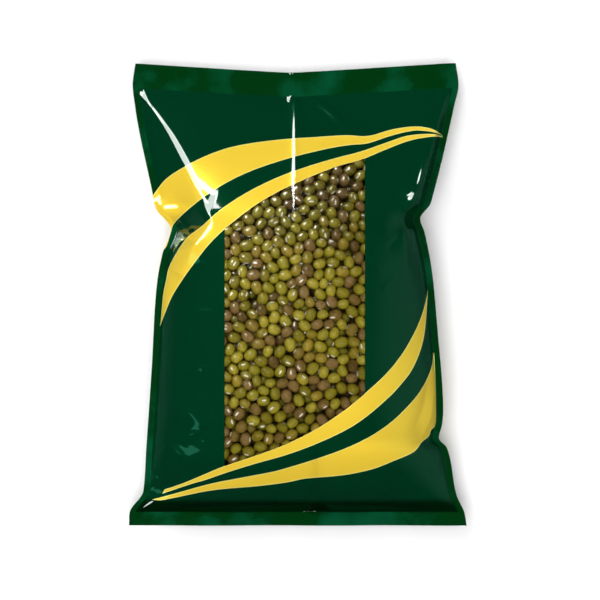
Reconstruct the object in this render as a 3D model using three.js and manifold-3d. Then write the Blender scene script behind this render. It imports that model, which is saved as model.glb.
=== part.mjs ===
// A heat-sealed film bag of dried mung beans, lying on its back with its window up.
// Millimetres, +Z up. The origin is on the surface that the bag lies on, under the middle
// of its outline; +Y runs to the top seal and +X to the right edge.

import * as THREE from "three";
import { mergeVertices } from "three/addons/utils/BufferGeometryUtils.js";
import Module from "manifold-3d";

const wasm = await Module();
wasm.setup();

// ---- Outline of the bag, seen from above ----

const HALF_LENGTH = 92.8; // middle to cut edge, along Y
const TOP_SEAL = 10.2; // widths of the heat seals
const BOTTOM_SEAL = 5.6;
const SIDE_SEAL = 2.6;
const SEAL_THICKNESS = 0.7;

// Both edges are drawn in at a waist, where the beans end, and the right one once more
// near the bottom, above the flared corner. Each point is [along the bag, across it].
const LEFT_EDGE = [
  [-92.8, -67.7], [-88, -67.5], [-79, -61.9], [-62, -60.6], [-30, -58.3], [3, -56.3],
  [16, -54], [26, -50.7], [34.4, -56.8], [42, -58.4], [76, -65.4], [84, -66.3], [92.8, -65.3],
];
const RIGHT_EDGE = [
  [-92.8, 67.7], [-88, 66.9], [-80.8, 63.7], [-61.6, 59.7], [-57.6, 56.4], [-52, 57.7],
  [-47, 58.1], [-13.6, 55.7], [8, 53.7], [24.8, 50.5], [30, 48.9], [36, 53], [40, 54.2],
  [76, 62.9], [84, 64.6], [92.8, 63.5],
];

// The top seal sags to its middle, and the sag dies out down the bag.
const SAG = 4;
const SAG_X = -3;
const SAG_HALF_WIDTH = 64;
const SAG_ROUNDING = 0.06; // share of the half width over which the low point is rounded
const SAG_FADES_AT = 30;

// ---- Thickness ----

// Height of the side seams over the surface, and how far front and back stand off them.
const SEAM_HEIGHT = [
  [-92.8, 13], [-80, 13.5], [-60, 16], [-20, 19], [20, 18.5], [45, 16], [70, 12], [92.8, 9.5],
];
const FRONT_RISE = [
  [-87.2, 0], [-83, 6.5], [-75, 16], [-62, 24], [-40, 27.5], [-10, 27.5], [15, 25.5], [34, 21],
  [50, 15], [66, 7.5], [82.6, 0],
];
const BACK_DEPTH = [
  [-87.2, 0], [-80, 11], [-68, 19], [-50, 22.5], [-10, 23], [20, 21.5], [45, 15], [65, 7.5],
  [82.6, 0],
];
const FLOOR_BLEND = 1.5; // half the depth over which the back rounds into the flat it lies on

// Across the lower bag the section is a full dome.
const DOME_POWER = 3.2;
const DOME_EDGE = 0.75; // 0.5 for a section upright at the seams, 1 for one that meets them in a ridge

// Across the upper bag it is a slack crown between two ridges, which start at the top
// corners and run in to the waist. Each point is [along the bag, share of the half width].
const LEFT_RIDGE = [
  [0, 0.88], [14, 0.84], [24, 0.77], [30, 0.695], [35, 0.685], [42, 0.716], [54, 0.77],
  [62, 0.815], [71, 0.89], [78, 0.955], [82.6, 0.975],
];
const RIGHT_RIDGE = [
  [0, 0.82], [20, 0.87], [30, 0.905], [38, 0.93], [54, 0.95], [82.6, 0.97],
];
const LEFT_CROWN = 0.16; // share of the rise that the crown loses towards its ridge
const RIGHT_CROWN = 0.42;
const RIDGE_ROUNDING = 0.12;
const RIDGES_FROM = 0; // the dome turns into the ridged crown between these two places
const RIDGES_FULL = 30;

// Pinches in the film. Each starts at a seam and dies out where it ends.
const FOLDS = [
  { from: [-50, 26], to: [-33, 29], width: 4, rise: -3.8 },
  { from: [-54, 35], to: [-37, 36], width: 4, rise: -1.5 },
  { from: [-50, 17], to: [-38, 21], width: 4, rise: 2 },
  { from: [48, 30], to: [34, 25], width: 3.6, rise: -4.5 },
  { from: [48, 38], to: [38, 41], width: 4, rise: 2 },
  { from: [48, 20], to: [36, 15], width: 4.5, rise: 1.8 },
  { from: [56, -58], to: [42, -53], width: 4, rise: -3.5 },
  { from: [-61, -80], to: [-44, -72], width: 4, rise: -3 },
  { from: [8, -87], to: [9, -66], width: 4, rise: -2.4 },
];
const FOLD_FADE = 2.5; // how fast the folds die out into the flat seals

// The bottom seal waves a little.
const WAVE = 0.9;
const WAVE_LENGTH = 46;
const WAVE_FADES_AT = -70;

// ---- Window and beans ----

const WINDOW_LEFT = -29.3;
const WINDOW_RIGHT = 26.9;
// The curved ends: where each meets the left and right side, and the point it bends round.
const WINDOW_TOP = { left: 25.8, bend: [-9.8, 42], right: 55 };
const WINDOW_BOTTOM = { left: -69, bend: [6.3, -56.9], right: -40 };
const POCKET_DEPTH = 6.5;
const POCKET_CLEARANCE = 0.3;

const BEAN_LENGTH = 5.4;
const BEAN_WIDTH = 4.4;
const BEAN_FULLNESS = 1.08; // a bean of flat faces is this much larger, to hold its true volume
const BEAN_SPACING = 5.6;
const BEAN_JITTER = 0.3;
const BEAN_TILT = 0.4; // radians
const BEAN_TOP_BELOW_FILM = 0.3;
const BEAN_DEPTH_SPREAD = 0.5;
const CORE_BELOW_FILM = 2.7;

// ---- How the mesh is divided ----

const COLUMNS = 22; // across the filled part, closer together towards the seams
const COLUMN_CROWDING = 0.5;
// Rows between places along the bag, closer together at the pinches.
const ROW_STRETCHES = [
  { to: -62, rows: 8 }, { to: -50, rows: 4 }, { to: 14, rows: 12 }, { to: 40, rows: 9 },
  { to: 82.6, rows: 10 },
];

// ---- Curves and small sums ----

const clamp = THREE.MathUtils.clamp;
const lerp = THREE.MathUtils.lerp;
const smoothstep = (from, to, x) => {
  const s = clamp((x - from) / (to - from), 0, 1);
  return s * s * (3 - 2 * s);
};

/** A cubic through the points that doesn't overshoot them, flat where they turn back. */
function curveThrough(points) {
  const gaps = points.slice(1).map(([x], i) => x - points[i][0]);
  const grades = points.slice(1).map(([, y], i) => (y - points[i][1]) / gaps[i]);
  const slopes = points.map((_, i) => {
    if (i === 0) return grades[0];
    if (i === points.length - 1) return grades[i - 1];
    if (grades[i - 1] * grades[i] <= 0) return 0;
    const before = 2 * gaps[i] + gaps[i - 1];
    const after = gaps[i] + 2 * gaps[i - 1];
    return (before + after) / (before / grades[i - 1] + after / grades[i]);
  });
  return (x) => {
    const last = gaps.length - 1;
    let i = 0;
    while (i < last && x > points[i + 1][0]) i += 1;
    const s = clamp((x - points[i][0]) / gaps[i], 0, 1);
    return (
      (1 + 2 * s) * (1 - s) ** 2 * points[i][1] + s ** 2 * (3 - 2 * s) * points[i + 1][1] +
      gaps[i] * (s * (1 - s) ** 2 * slopes[i] + s ** 2 * (s - 1) * slopes[i + 1])
    );
  };
}

/** The lower of two heights, with the crease between them rounded. */
const lowerOf = (a, b, rounding) =>
  Math.min(a, b) - Math.max(rounding - Math.abs(a - b), 0) ** 2 / (4 * rounding);

const leftEdge = curveThrough(LEFT_EDGE);
const rightEdge = curveThrough(RIGHT_EDGE);
const seamHeight = curveThrough(SEAM_HEIGHT);
const frontRise = curveThrough(FRONT_RISE);
const backDepth = curveThrough(BACK_DEPTH);
const leftRidge = curveThrough(LEFT_RIDGE);
const rightRidge = curveThrough(RIGHT_RIDGE);

// ---- The film's form ----
// A place on the film is (across, along): across runs from -1 at the left seam to 1 at the
// right one, and along is the distance along the bag before the top seal's sag.

const dome = (across) => Math.max(0, 1 - Math.abs(across) ** DOME_POWER) ** DOME_EDGE;

function ridgedCrown(across, along) {
  const ridge = across < 0 ? leftRidge(along) : rightRidge(along);
  const loss = across < 0 ? LEFT_CROWN : RIGHT_CROWN;
  const crown = 1 - loss * across ** 2;
  const side = ((1 - Math.abs(across)) / (1 - ridge)) * (1 - loss * ridge ** 2);
  return Math.max(0, lowerOf(crown, side, RIDGE_ROUNDING));
}

const section = (across, along) =>
  lerp(dome(across), ridgedCrown(across, along), smoothstep(RIDGES_FROM, RIDGES_FULL, along));

function foldsAt(x, y) {
  let height = 0;
  for (const { from, to, width, rise } of FOLDS) {
    const start = new THREE.Vector2(...from);
    const run = new THREE.Vector2(...to).sub(start);
    const point = new THREE.Vector2(x, y).sub(start);
    const s = point.dot(run) / run.lengthSq();
    const off = Math.abs(point.cross(run)) / run.length();
    const before = Math.max(0, -s) * run.length();
    const fade = s < 0 ? Math.exp(-((before / width) ** 2)) : 1 - smoothstep(0, 1, s);
    height += rise * fade * Math.exp(-((off / width) ** 2));
  }
  return height;
}

const sagAt = (x, along) =>
  SAG * Math.max(0, 1 - Math.hypot((x - SAG_X) / SAG_HALF_WIDTH, SAG_ROUNDING)) *
  smoothstep(SAG_FADES_AT, HALF_LENGTH, along);

const waveAt = (x, along) =>
  WAVE * Math.sin((2 * Math.PI * x) / WAVE_LENGTH) * smoothstep(WAVE_FADES_AT, -HALF_LENGTH, along);

const acrossToX = (across, along) =>
  lerp(leftEdge(along) + SIDE_SEAL, rightEdge(along) - SIDE_SEAL, (across + 1) / 2);

function xToAcross(x, along) {
  const left = leftEdge(along) + SIDE_SEAL;
  const right = rightEdge(along) - SIDE_SEAL;
  return clamp((2 * (x - left)) / (right - left) - 1, -1, 1);
}

function frontHeight(across, along, x) {
  const swell = section(across, along);
  const folds = foldsAt(x, along) * Math.min(1, FOLD_FADE * swell) * Math.sign(frontRise(along));
  return seamHeight(along) + waveAt(x, along) + SEAL_THICKNESS / 2 + frontRise(along) * swell + folds;
}

function backHeight(across, along, x) {
  const swell = dome(across);
  const folds = foldsAt(x, along) * Math.min(1, FOLD_FADE * swell) * Math.sign(backDepth(along));
  const height =
    seamHeight(along) + waveAt(x, along) - SEAL_THICKNESS / 2 - backDepth(along) * swell - folds;
  if (height > FLOOR_BLEND) return height;
  return height < -FLOOR_BLEND ? 0 : (height + FLOOR_BLEND) ** 2 / (4 * FLOOR_BLEND);
}

/** Height of the front film over a point seen from above. */
function filmAt(x, y) {
  let along = y;
  for (let pass = 0; pass < 4; pass += 1) along = y + sagAt(x, along);
  return frontHeight(xToAcross(x, along), along, x);
}

// ---- Solids ----

/** A closed block of columns by rows, moved corner by corner by place(column, row, top). */
function blockOf(columns, rows, place) {
  const block = new THREE.BoxGeometry(1, 1, 1, columns, rows, 1);
  block.deleteAttribute("normal");
  block.deleteAttribute("uv");
  const merged = mergeVertices(block);
  const positions = merged.attributes.position;
  for (let i = 0; i < positions.count; i += 1) {
    const column = Math.round((positions.getX(i) + 0.5) * columns);
    const row = Math.round((positions.getY(i) + 0.5) * rows);
    positions.setXYZ(i, ...place(column, row, positions.getZ(i) > 0));
  }
  return merged;
}

function solidOf(geometry) {
  const bare = geometry.clone();
  bare.deleteAttribute("normal");
  bare.deleteAttribute("uv");
  const merged = mergeVertices(bare);
  return new wasm.Manifold(new wasm.Mesh({
    numProp: 3,
    vertProperties: Float32Array.from(merged.attributes.position.array),
    triVerts: Uint32Array.from(merged.index.array),
  }));
}

function meshOf(name, solid, material) {
  const { vertProperties, triVerts } = solid.getMesh();
  const geometry = new THREE.BufferGeometry();
  geometry.setAttribute("position", new THREE.BufferAttribute(vertProperties, 3));
  geometry.setIndex(new THREE.BufferAttribute(triVerts, 1));
  geometry.computeVertexNormals();
  const mesh = new THREE.Mesh(geometry, material);
  mesh.name = name;
  return mesh;
}

/** Upright prism over the window, its walls moved in by inset. */
function windowPrism(inset) {
  const left = WINDOW_LEFT + inset;
  const right = WINDOW_RIGHT - inset;
  const slant = inset * 1.3; // the curved ends lean, so they move further along the bag
  const { left: topLeft, bend: topBend, right: topRight } = WINDOW_TOP;
  const { left: bottomLeft, bend: bottomBend, right: bottomRight } = WINDOW_BOTTOM;
  const outline = new THREE.Shape();
  outline.moveTo(left, bottomLeft + slant);
  outline.quadraticCurveTo(bottomBend[0], bottomBend[1] + slant, right, bottomRight + slant);
  outline.lineTo(right, topRight - slant);
  outline.quadraticCurveTo(topBend[0], topBend[1] - slant, left, topLeft - slant);
  outline.closePath();
  return solidOf(new THREE.ExtrudeGeometry(outline, {
    depth: 70, steps: 1, curveSegments: 10, bevelEnabled: false,
  }));
}

/** A slab under the window that follows the film, between two depths below it. */
function slabUnderFilm(topDepth, bottomDepth) {
  const columns = 7;
  const rows = 14;
  const margin = 4;
  return solidOf(blockOf(columns, rows, (column, row, top) => {
    const x = lerp(WINDOW_LEFT - margin, WINDOW_RIGHT + margin, column / columns);
    const y = lerp(WINDOW_BOTTOM.left - margin, WINDOW_TOP.right + margin, row / rows);
    return [x, y, filmAt(x, y) - (top ? topDepth : bottomDepth)];
  }));
}

// ---- Pouch ----

function makePouch(material) {
  const acrossOf = (column) => {
    const s = (2 * (column - 1)) / COLUMNS - 1;
    return lerp(s, Math.sin((s * Math.PI) / 2), COLUMN_CROWDING);
  };
  const rowPlaces = [-HALF_LENGTH, -HALF_LENGTH + BOTTOM_SEAL];
  for (const { to, rows } of ROW_STRETCHES) {
    const from = rowPlaces.at(-1);
    for (let row = 1; row <= rows; row += 1) rowPlaces.push(lerp(from, to, row / rows));
  }
  rowPlaces.push(HALF_LENGTH - TOP_SEAL / 2, HALF_LENGTH);

  const lastColumn = COLUMNS + 2;
  const film = blockOf(lastColumn, rowPlaces.length - 1, (column, row, top) => {
    const along = rowPlaces[row];
    const inSideSeal = column === 0 || column === lastColumn;
    const across = inSideSeal ? Math.sign(column - 1) : acrossOf(column);
    const x = inSideSeal
      ? (column === 0 ? leftEdge : rightEdge)(along)
      : acrossToX(across, along);
    const height = (top ? frontHeight : backHeight)(across, along, x);
    return [x, along - sagAt(x, along), height];
  });
  const pocket = slabUnderFilm(-8, POCKET_DEPTH).intersect(windowPrism(0));
  return meshOf("pouch", solidOf(film).subtract(pocket), material);
}

// ---- Beans ----

/** Repeatable draws from 0 to 1. */
function drawsFrom(seed) {
  let state = seed;
  return () => {
    state = (state * 1664525 + 1013904223) >>> 0;
    return state / 2 ** 32;
  };
}

function beanAt(x, y, draw) {
  const size = 0.92 + 0.14 * draw();
  const bean = new THREE.IcosahedronGeometry(BEAN_FULLNESS, 0);
  bean.scale((BEAN_LENGTH / 2) * size, (BEAN_WIDTH / 2) * size, (BEAN_WIDTH / 2) * size);
  bean.rotateX(draw() * Math.PI);
  bean.rotateY((draw() - 0.5) * 2 * BEAN_TILT);
  bean.rotateZ(draw() * Math.PI);
  const top = BEAN_TOP_BELOW_FILM + BEAN_DEPTH_SPREAD * draw();
  bean.translate(x, y, filmAt(x, y) - top - (BEAN_WIDTH / 2) * size);
  return solidOf(bean);
}

function makeBeans(material) {
  const draw = drawsFrom(7);
  const prism = windowPrism(POCKET_CLEARANCE);
  let heap = slabUnderFilm(CORE_BELOW_FILM, POCKET_DEPTH - POCKET_CLEARANCE);
  const rowStep = (BEAN_SPACING * Math.sqrt(3)) / 2;
  let row = 0;
  for (let y = WINDOW_BOTTOM.left; y < WINDOW_TOP.right; y += rowStep) {
    const shift = (row % 2) * (BEAN_SPACING / 2);
    for (let x = WINDOW_LEFT + shift; x < WINDOW_RIGHT; x += BEAN_SPACING) {
      const beanX = x + (draw() - 0.5) * 2 * BEAN_JITTER;
      const beanY = y + (draw() - 0.5) * 2 * BEAN_JITTER;
      const bean = beanAt(beanX, beanY, draw);
      const shown = bean.intersect(prism);
      if (shown.volume() > bean.volume() / 3) heap = heap.add(bean);
    }
    row += 1;
  }
  return meshOf("beans", heap.intersect(prism), material);
}

// ---- Whole ----

const film = new THREE.MeshStandardMaterial({ color: 0x03371f, roughness: 0.18, metalness: 0 });
const seed = new THREE.MeshStandardMaterial({ color: 0x736a28, roughness: 0.45, metalness: 0 });

const bag = new THREE.Group();
bag.add(makePouch(film), makeBeans(seed));

export default bag;
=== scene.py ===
import math

import bmesh
import bpy
import numpy as np
from mathutils import Matrix, Vector


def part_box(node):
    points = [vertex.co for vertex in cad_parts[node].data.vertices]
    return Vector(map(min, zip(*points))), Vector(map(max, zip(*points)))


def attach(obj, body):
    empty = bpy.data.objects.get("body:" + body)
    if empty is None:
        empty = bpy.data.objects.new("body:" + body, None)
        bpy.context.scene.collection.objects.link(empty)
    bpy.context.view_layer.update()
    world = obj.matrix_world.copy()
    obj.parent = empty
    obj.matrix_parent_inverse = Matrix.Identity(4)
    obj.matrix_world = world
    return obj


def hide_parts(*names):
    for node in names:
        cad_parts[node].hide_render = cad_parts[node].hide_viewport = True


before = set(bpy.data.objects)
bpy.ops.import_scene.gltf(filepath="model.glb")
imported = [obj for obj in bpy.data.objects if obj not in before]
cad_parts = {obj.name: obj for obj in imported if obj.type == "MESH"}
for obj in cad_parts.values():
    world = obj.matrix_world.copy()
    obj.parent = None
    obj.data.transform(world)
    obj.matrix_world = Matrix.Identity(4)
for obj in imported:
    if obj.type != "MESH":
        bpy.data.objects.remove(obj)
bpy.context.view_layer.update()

# ---- Outline and swell of the film ----
# The bag is two panels of printed film, heat-sealed flat to each other round all four edges.
# The beans swell it between the seals, most over the lower half, and it lies on its back
# panel. Everything is worked out in millimetres, and the meshes are then scaled to metres.

MM = 0.001
HALF_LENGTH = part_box("pouch")[1].y / MM

TOP_SEAL = 10.2
BOTTOM_SEAL = 5.6
SIDE_SEAL = 2.6
FILM_PAIR = 0.36  # thickness of the two panels where they are sealed together
BODY_TOP = HALF_LENGTH - TOP_SEAL
BODY_BOTTOM = BOTTOM_SEAL - HALF_LENGTH

# Each point is a place along the bag and a place across it, or a height there.
LEFT_EDGE = [
    (-92.8, -67.7), (-88, -67.5), (-79, -61.9), (-62, -60.6), (-30, -58.3), (3, -56.3),
    (16, -54), (26, -50.7), (34.4, -56.8), (42, -58.4), (76, -65.4), (84, -66.3), (92.8, -65.3),
]
RIGHT_EDGE = [
    (-92.8, 67.7), (-88, 66.9), (-80.8, 63.7), (-61.6, 59.7), (-57.6, 56.4), (-52, 57.7),
    (-47, 58.1), (-13.6, 55.7), (8, 53.7), (24.8, 50.5), (30, 48.9), (36, 53), (40, 54.2),
    (76, 62.9), (84, 64.6), (92.8, 63.5),
]
SEAM_HEIGHT = [
    (-92.8, 13), (-80, 13.5), (-60, 16), (-20, 19), (20, 18.5), (45, 16), (70, 12), (92.8, 9.5),
]
FRONT_RISE = [
    (-87.2, 0), (-83, 6.5), (-75, 16), (-62, 24), (-40, 27.5), (-10, 27.5), (15, 25.5), (34, 21),
    (50, 15), (66, 7.5), (82.6, 0),
]
BACK_DEPTH = [
    (-87.2, 0), (-80, 11), (-68, 19), (-50, 22.5), (-10, 23), (20, 21.5), (45, 15), (65, 7.5),
    (82.6, 0),
]
FLOOR_BLEND = 1.5  # half the depth over which the back rounds into the flat it lies on
DOME_POWER = 3.2
DOME_EDGE = 0.75  # 0.5 for a section upright at the seams, 1 for one that meets them in a ridge

# Over the upper bag the film is a slack crown between two ridges, which start at the top
# corners and run in to the waist. Each point is a place along the bag and a share of its half
# width.
LEFT_RIDGE = [
    (0, 0.88), (14, 0.84), (24, 0.77), (30, 0.695), (35, 0.685), (42, 0.716), (54, 0.77),
    (62, 0.815), (71, 0.89), (78, 0.955), (82.6, 0.975),
]
RIGHT_RIDGE = [(0, 0.82), (20, 0.87), (30, 0.905), (38, 0.93), (54, 0.95), (82.6, 0.97)]
LEFT_CROWN = 0.16  # share of the rise that the crown loses towards its ridge
RIGHT_CROWN = 0.42
RIDGE_ROUNDING = 0.12
RIDGES_FROM = 0
RIDGES_FULL = 30

# The top seal sags to its middle, and the bottom seal waves a little.
SAG = 4
SAG_X = -3
SAG_HALF_WIDTH = 64
SAG_ROUNDING = 0.06
SAG_FADES_AT = 30
WAVE = 0.9
WAVE_LENGTH = 46
WAVE_FADES_AT = -70


def curve_through(points):
    """A cubic through the points that doesn't overshoot them, flat where they turn back."""
    places, values = np.array(points, float).T
    gaps = np.diff(places)
    grades = np.diff(values) / gaps
    before = 2 * gaps[1:] + gaps[:-1]
    after = gaps[1:] + 2 * gaps[:-1]
    turns = grades[:-1] * grades[1:] <= 0
    first, second = (np.where(turns, 1, g) for g in (grades[:-1], grades[1:]))
    inner = np.where(turns, 0, (before + after) / (before / first + after / second))
    slopes = np.concatenate([grades[:1], inner, grades[-1:]])

    def value_at(place):
        i = np.clip(np.searchsorted(places, place, side="right") - 1, 0, len(gaps) - 1)
        s = np.clip((place - places[i]) / gaps[i], 0, 1)
        ends = (1 + 2 * s) * (1 - s) ** 2 * values[i] + s**2 * (3 - 2 * s) * values[i + 1]
        bends = s * (1 - s) ** 2 * slopes[i] + s**2 * (s - 1) * slopes[i + 1]
        return ends + gaps[i] * bends

    return value_at


left_edge = curve_through(LEFT_EDGE)
right_edge = curve_through(RIGHT_EDGE)
seam_height = curve_through(SEAM_HEIGHT)
front_rise = curve_through(FRONT_RISE)
back_depth = curve_through(BACK_DEPTH)
left_ridge = curve_through(LEFT_RIDGE)
right_ridge = curve_through(RIGHT_RIDGE)


def lerp(start, end, share):
    return start + (end - start) * share


def smoothstep(start, end, x):
    s = np.clip((x - start) / (end - start), 0, 1)
    return s * s * (3 - 2 * s)


def dome(across):
    return np.maximum(0, 1 - np.abs(across) ** DOME_POWER) ** DOME_EDGE


def ridged_crown(across, along):
    on_left = across < 0
    ridge = np.where(on_left, left_ridge(along), right_ridge(along))
    loss = np.where(on_left, LEFT_CROWN, RIGHT_CROWN)
    crown = 1 - loss * across**2
    side = (1 - np.abs(across)) / (1 - ridge) * (1 - loss * ridge**2)
    overlap = np.maximum(RIDGE_ROUNDING - np.abs(crown - side), 0)
    return np.maximum(0, np.minimum(crown, side) - overlap**2 / (4 * RIDGE_ROUNDING))


def swell_at(across, along):
    return lerp(dome(across), ridged_crown(across, along), smoothstep(RIDGES_FROM, RIDGES_FULL, along))


def sag_at(x, along):
    dip = np.maximum(0, 1 - np.hypot((x - SAG_X) / SAG_HALF_WIDTH, SAG_ROUNDING))
    return SAG * dip * smoothstep(SAG_FADES_AT, HALF_LENGTH, along)


def seal_height(x, along):
    wave = WAVE * np.sin(2 * math.pi * x / WAVE_LENGTH)
    return seam_height(along) + wave * smoothstep(WAVE_FADES_AT, -HALF_LENGTH, along)


def across_to_x(across, along):
    """across runs from -1 at the left seal's inner line to 1 at the right one's."""
    left = left_edge(along) + SIDE_SEAL
    right = right_edge(along) - SIDE_SEAL
    return lerp(left, right, (across + 1) / 2)


def x_to_across(x, along):
    left = left_edge(along) + SIDE_SEAL
    right = right_edge(along) - SIDE_SEAL
    return np.clip(2 * (x - left) / (right - left) - 1, -1, 1)


# ---- Folds and creases ----
# The film creases where the bag is drawn in at its waist, where a corner of a seal kinks and
# where beans have shifted under it. Each fold runs smoothly through its points, which are
# places seen from above, and is this wide to the left and to the right of that line.

PINCHES = [  # from a seam, and dying out towards the middle
    ((-50, 26), (-33, 29), 4, -3.8), ((-54, 35), (-37, 36), 4, -1.5), ((-50, 17), (-38, 21), 4, 2),
    ((48, 30), (34, 25), 3.6, -4.5), ((48, 38), (38, 41), 4, 2), ((48, 20), (36, 15), 4.5, 1.8),
    ((56, -58), (42, -53), 4, -3.5), ((-61, -80), (-44, -72), 4, -3), ((8, -87), (9, -66), 4, -2.4),
]
FOLDS = {
    "crown, hanging from the sag": ([(-1.2, 86), (-0.9, 57.6), (-1.0, 27)], (1.5, 1.5), 0.42),
    "slant beside it": ([(7.5, 77), (13.1, 72.6), (19.9, 66.2)], (1.0, 1.0), 0.4),
    "left waist, valley": (
        [(-58, 33), (-53.9, 34.6), (-48.7, 36.4), (-40.3, 34), (-36, 32)], (5, 4.5), -2.6
    ),
    "left waist, cuff": ([(-56.5, 38.6), (-53.5, 32.8), (-49.3, 27.6)], (6, 1.4), 3.4),
    "left waist, swirl": ([(-47.1, 30.4), (-44.3, 25.6), (-42.3, 23.2)], (0.8, 0.8), 0.7),
    "left waist, hook": ([(-42.7, 33.6), (-39.1, 32), (-37.1, 28.8)], (0.8, 1.2), 0.7),
    "left waist, knuckle": ([(-45.5, 20), (-42.3, 21.6), (-39.9, 19.2), (-38.7, 12.8)], (2, 4), 1.0),
    "left waist, lower": ([(-52, 11.2), (-47.5, 8.4), (-43.1, 4.8)], (2.4, 1.0), 0.9),
    "left waist, tail": ([(-37.9, 15.2), (-36.3, 10.4), (-34.3, 5.6)], (0.8, 0.8), 0.4),
    "left waist, second tail": ([(-44.3, 7.6), (-41.5, 4.8), (-38.7, 2.8)], (1.6, 0.8), 0.5),
    "left belly, first": ([(-43.1, -4.4), (-39.1, -6.8), (-33.9, -6.8)], (0.8, 1.6), 0.3),
    "left belly, second": ([(-41.9, -27.2), (-39.1, -29.2), (-35.5, -29.2)], (0.6, 1.4), 0.4),
    "left belly, broad": ([(-53.9, -45.2), (-44.7, -46.4), (-36.9, -54.4)], (2.6, 5), 1.2),
    "left belly, third": ([(-46.5, -59.4), (-42.3, -55.6), (-38.2, -56.6)], (0.6, 2.0), 0.9),
    "left belly, low": ([(-56.7, -65.2), (-51.1, -61), (-45.1, -65.6)], (1.0, 3.0), 1.2),
    "left corner, line": ([(-59.5, -68.4), (-56.7, -73.2), (-54.3, -78)], (0.5, 0.5), 0.5),
    "left corner, faint": ([(-44.7, -67.2), (-47.5, -72), (-51.1, -76)], (0.5, 0.8), 0.25),
    "right ridge": ([(51.3, 56), (48.9, 45.6), (45.3, 37), (41.3, 28)], (1.0, 1.2), 1.0),
    "right waist, strip": ([(45.3, 27.2), (49.7, 20.4), (53.3, 13.6)], (0.6, 1.6), 0.6),
    "right waist, crease": ([(40.9, 23.2), (38.5, 20.8), (36.1, 18.4)], (0.8, 0.8), -0.6),
    "right belly, lens": ([(33.7, 1.6), (38.9, 6.4), (46.1, 3.6)], (0.8, 1.6), 0.5),
    "right belly, broad": ([(29.7, 13.6), (37.7, -2.4), (40.1, -20.4)], (5.0, 8.0), 0.6),
    "right corner, hollow": ([(52.5, -32), (50.5, -44), (46.5, -55)], (2.2, 1.6), -1.2),
    "right corner, roll": ([(54.5, -39), (53, -50), (48.5, -59)], (1.5, 1.5), 0.9),
    "right corner, crumple": ([(56.9, -57.6), (53.7, -60), (50.5, -61.6)], (1.0, 1.5), -1.2),
    "right corner, crease": ([(53.3, -56.8), (56.9, -58.8), (58.9, -61.2)], (0.5, 1.0), 0.8),
    "right corner, facet": ([(53.3, -72), (55.7, -67.2), (58.5, -64)], (0.8, 2.0), 0.8),
    "right corner, line": ([(57.3, -62.4), (60.5, -74.4), (64.9, -88.8)], (0.4, 0.8), 0.5),
    "left ear, kink": ([(-62.3, -81.2), (-61.1, -80.4), (-59.5, -79.6)], (0.6, 0.6), 0.5),
    "left ear, inner": ([(-56.7, -82.8), (-60.7, -85.2), (-65.1, -88.8)], (0.5, 0.8), 0.7),
    "bottom, fold": ([(7.3, -61.4), (8.5, -74.4), (7.7, -88)], (2.4, 2.0), -1.6),
    "bottom, dent": ([(15.3, -76.4), (19.3, -74.8), (24.1, -76.4)], (1.2, 1.2), -0.5),
    "top corner, crease": ([(-66.5, 83.2), (-63, 79.4), (-58.5, 74)], (0.5, 0.5), 0.25),
    "top seal, first": ([(-7.5, 84), (-6.7, 84.4), (-5.5, 83.6)], (0.6, 0.6), 0.4),
    "top seal, second": ([(-11.9, 80.4), (-10.3, 80.8), (-8.7, 81.6)], (0.5, 0.5), 0.3),
    "top seal, third": ([(-3.1, 88.8), (-2.3, 87.2), (-1.5, 88.8)], (0.6, 0.6), 0.4),
    "top seal, fourth": ([(-3.9, 77.2), (-2.7, 78.4), (-1.5, 78)], (0.6, 0.8), 0.5),
    "bottom seal, first": ([(-39.5, -92), (-35.9, -89.2), (-30.3, -88.4)], (0.6, 1.2), 0.6),
    "bottom seal, second": ([(-5.5, -90.8), (0.1, -88.8), (5.7, -90.4)], (0.8, 1.2), 0.5),
    "bottom seal, third": ([(5.7, -90.4), (12.9, -88), (20.9, -87.2)], (0.8, 1.0), 0.5),
}
FOLD_FADE = 2.5  # how fast the pinches die out into the flat seals
FOLD_POWER = 1.3  # 1 for a sharp crease, 2 for a round one
FOLD_ENDS = 0.7  # smaller keeps a fold high until nearer its ends
FOLD_REACH = 3  # in widths, past which a fold is left out
RIPPLES = [(40, 0.12, 3), (14, 0.012, 5)]  # wavelength, height and seed of the film's unevenness
RIPPLE_SPREAD = (0.7, 1.5)  # the range of its wavelengths, as shares of the one given


def line_through(points, steps=5):
    """A smooth line through the points, as short straight pieces."""
    inner = np.array(points, float)
    around = np.vstack([2 * inner[0] - inner[1], inner, 2 * inner[-1] - inner[-2]])
    s = np.linspace(0, 1, steps, endpoint=False)[:, None]
    spans = []
    for a, b, c, d in zip(around, around[1:], around[2:], around[3:]):
        cubic = -a + 3 * b - 3 * c + d
        square = 2 * a - 5 * b + 4 * c - d
        spans.append(b + 0.5 * (s * (c - a) + s**2 * square + s**3 * cubic))
    return np.vstack([*spans, inner[-1:]])


def beside(line, x, y):
    """How far each point lies to the left of the line, and the share of the line passed."""
    steps = np.diff(line, axis=0)
    lengths = np.hypot(*steps.T)
    passed = np.concatenate([[0], np.cumsum(lengths)])
    nearest = np.full(np.shape(x), np.inf)
    offset = np.zeros(np.shape(x))
    share = np.zeros(np.shape(x))
    for (start_x, start_y), (step_x, step_y), length, before in zip(line, steps, lengths, passed):
        away_x = x - start_x
        away_y = y - start_y
        s = np.clip((away_x * step_x + away_y * step_y) / length**2, 0, 1)
        distance = np.hypot(away_x - s * step_x, away_y - s * step_y)
        closer = distance < nearest
        nearest = np.where(closer, distance, nearest)
        side = np.sign(step_x * away_y - step_y * away_x)
        offset = np.where(closer, distance * side, offset)
        share = np.where(closer, (before + s * length) / passed[-1], share)
    return offset, share


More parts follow.
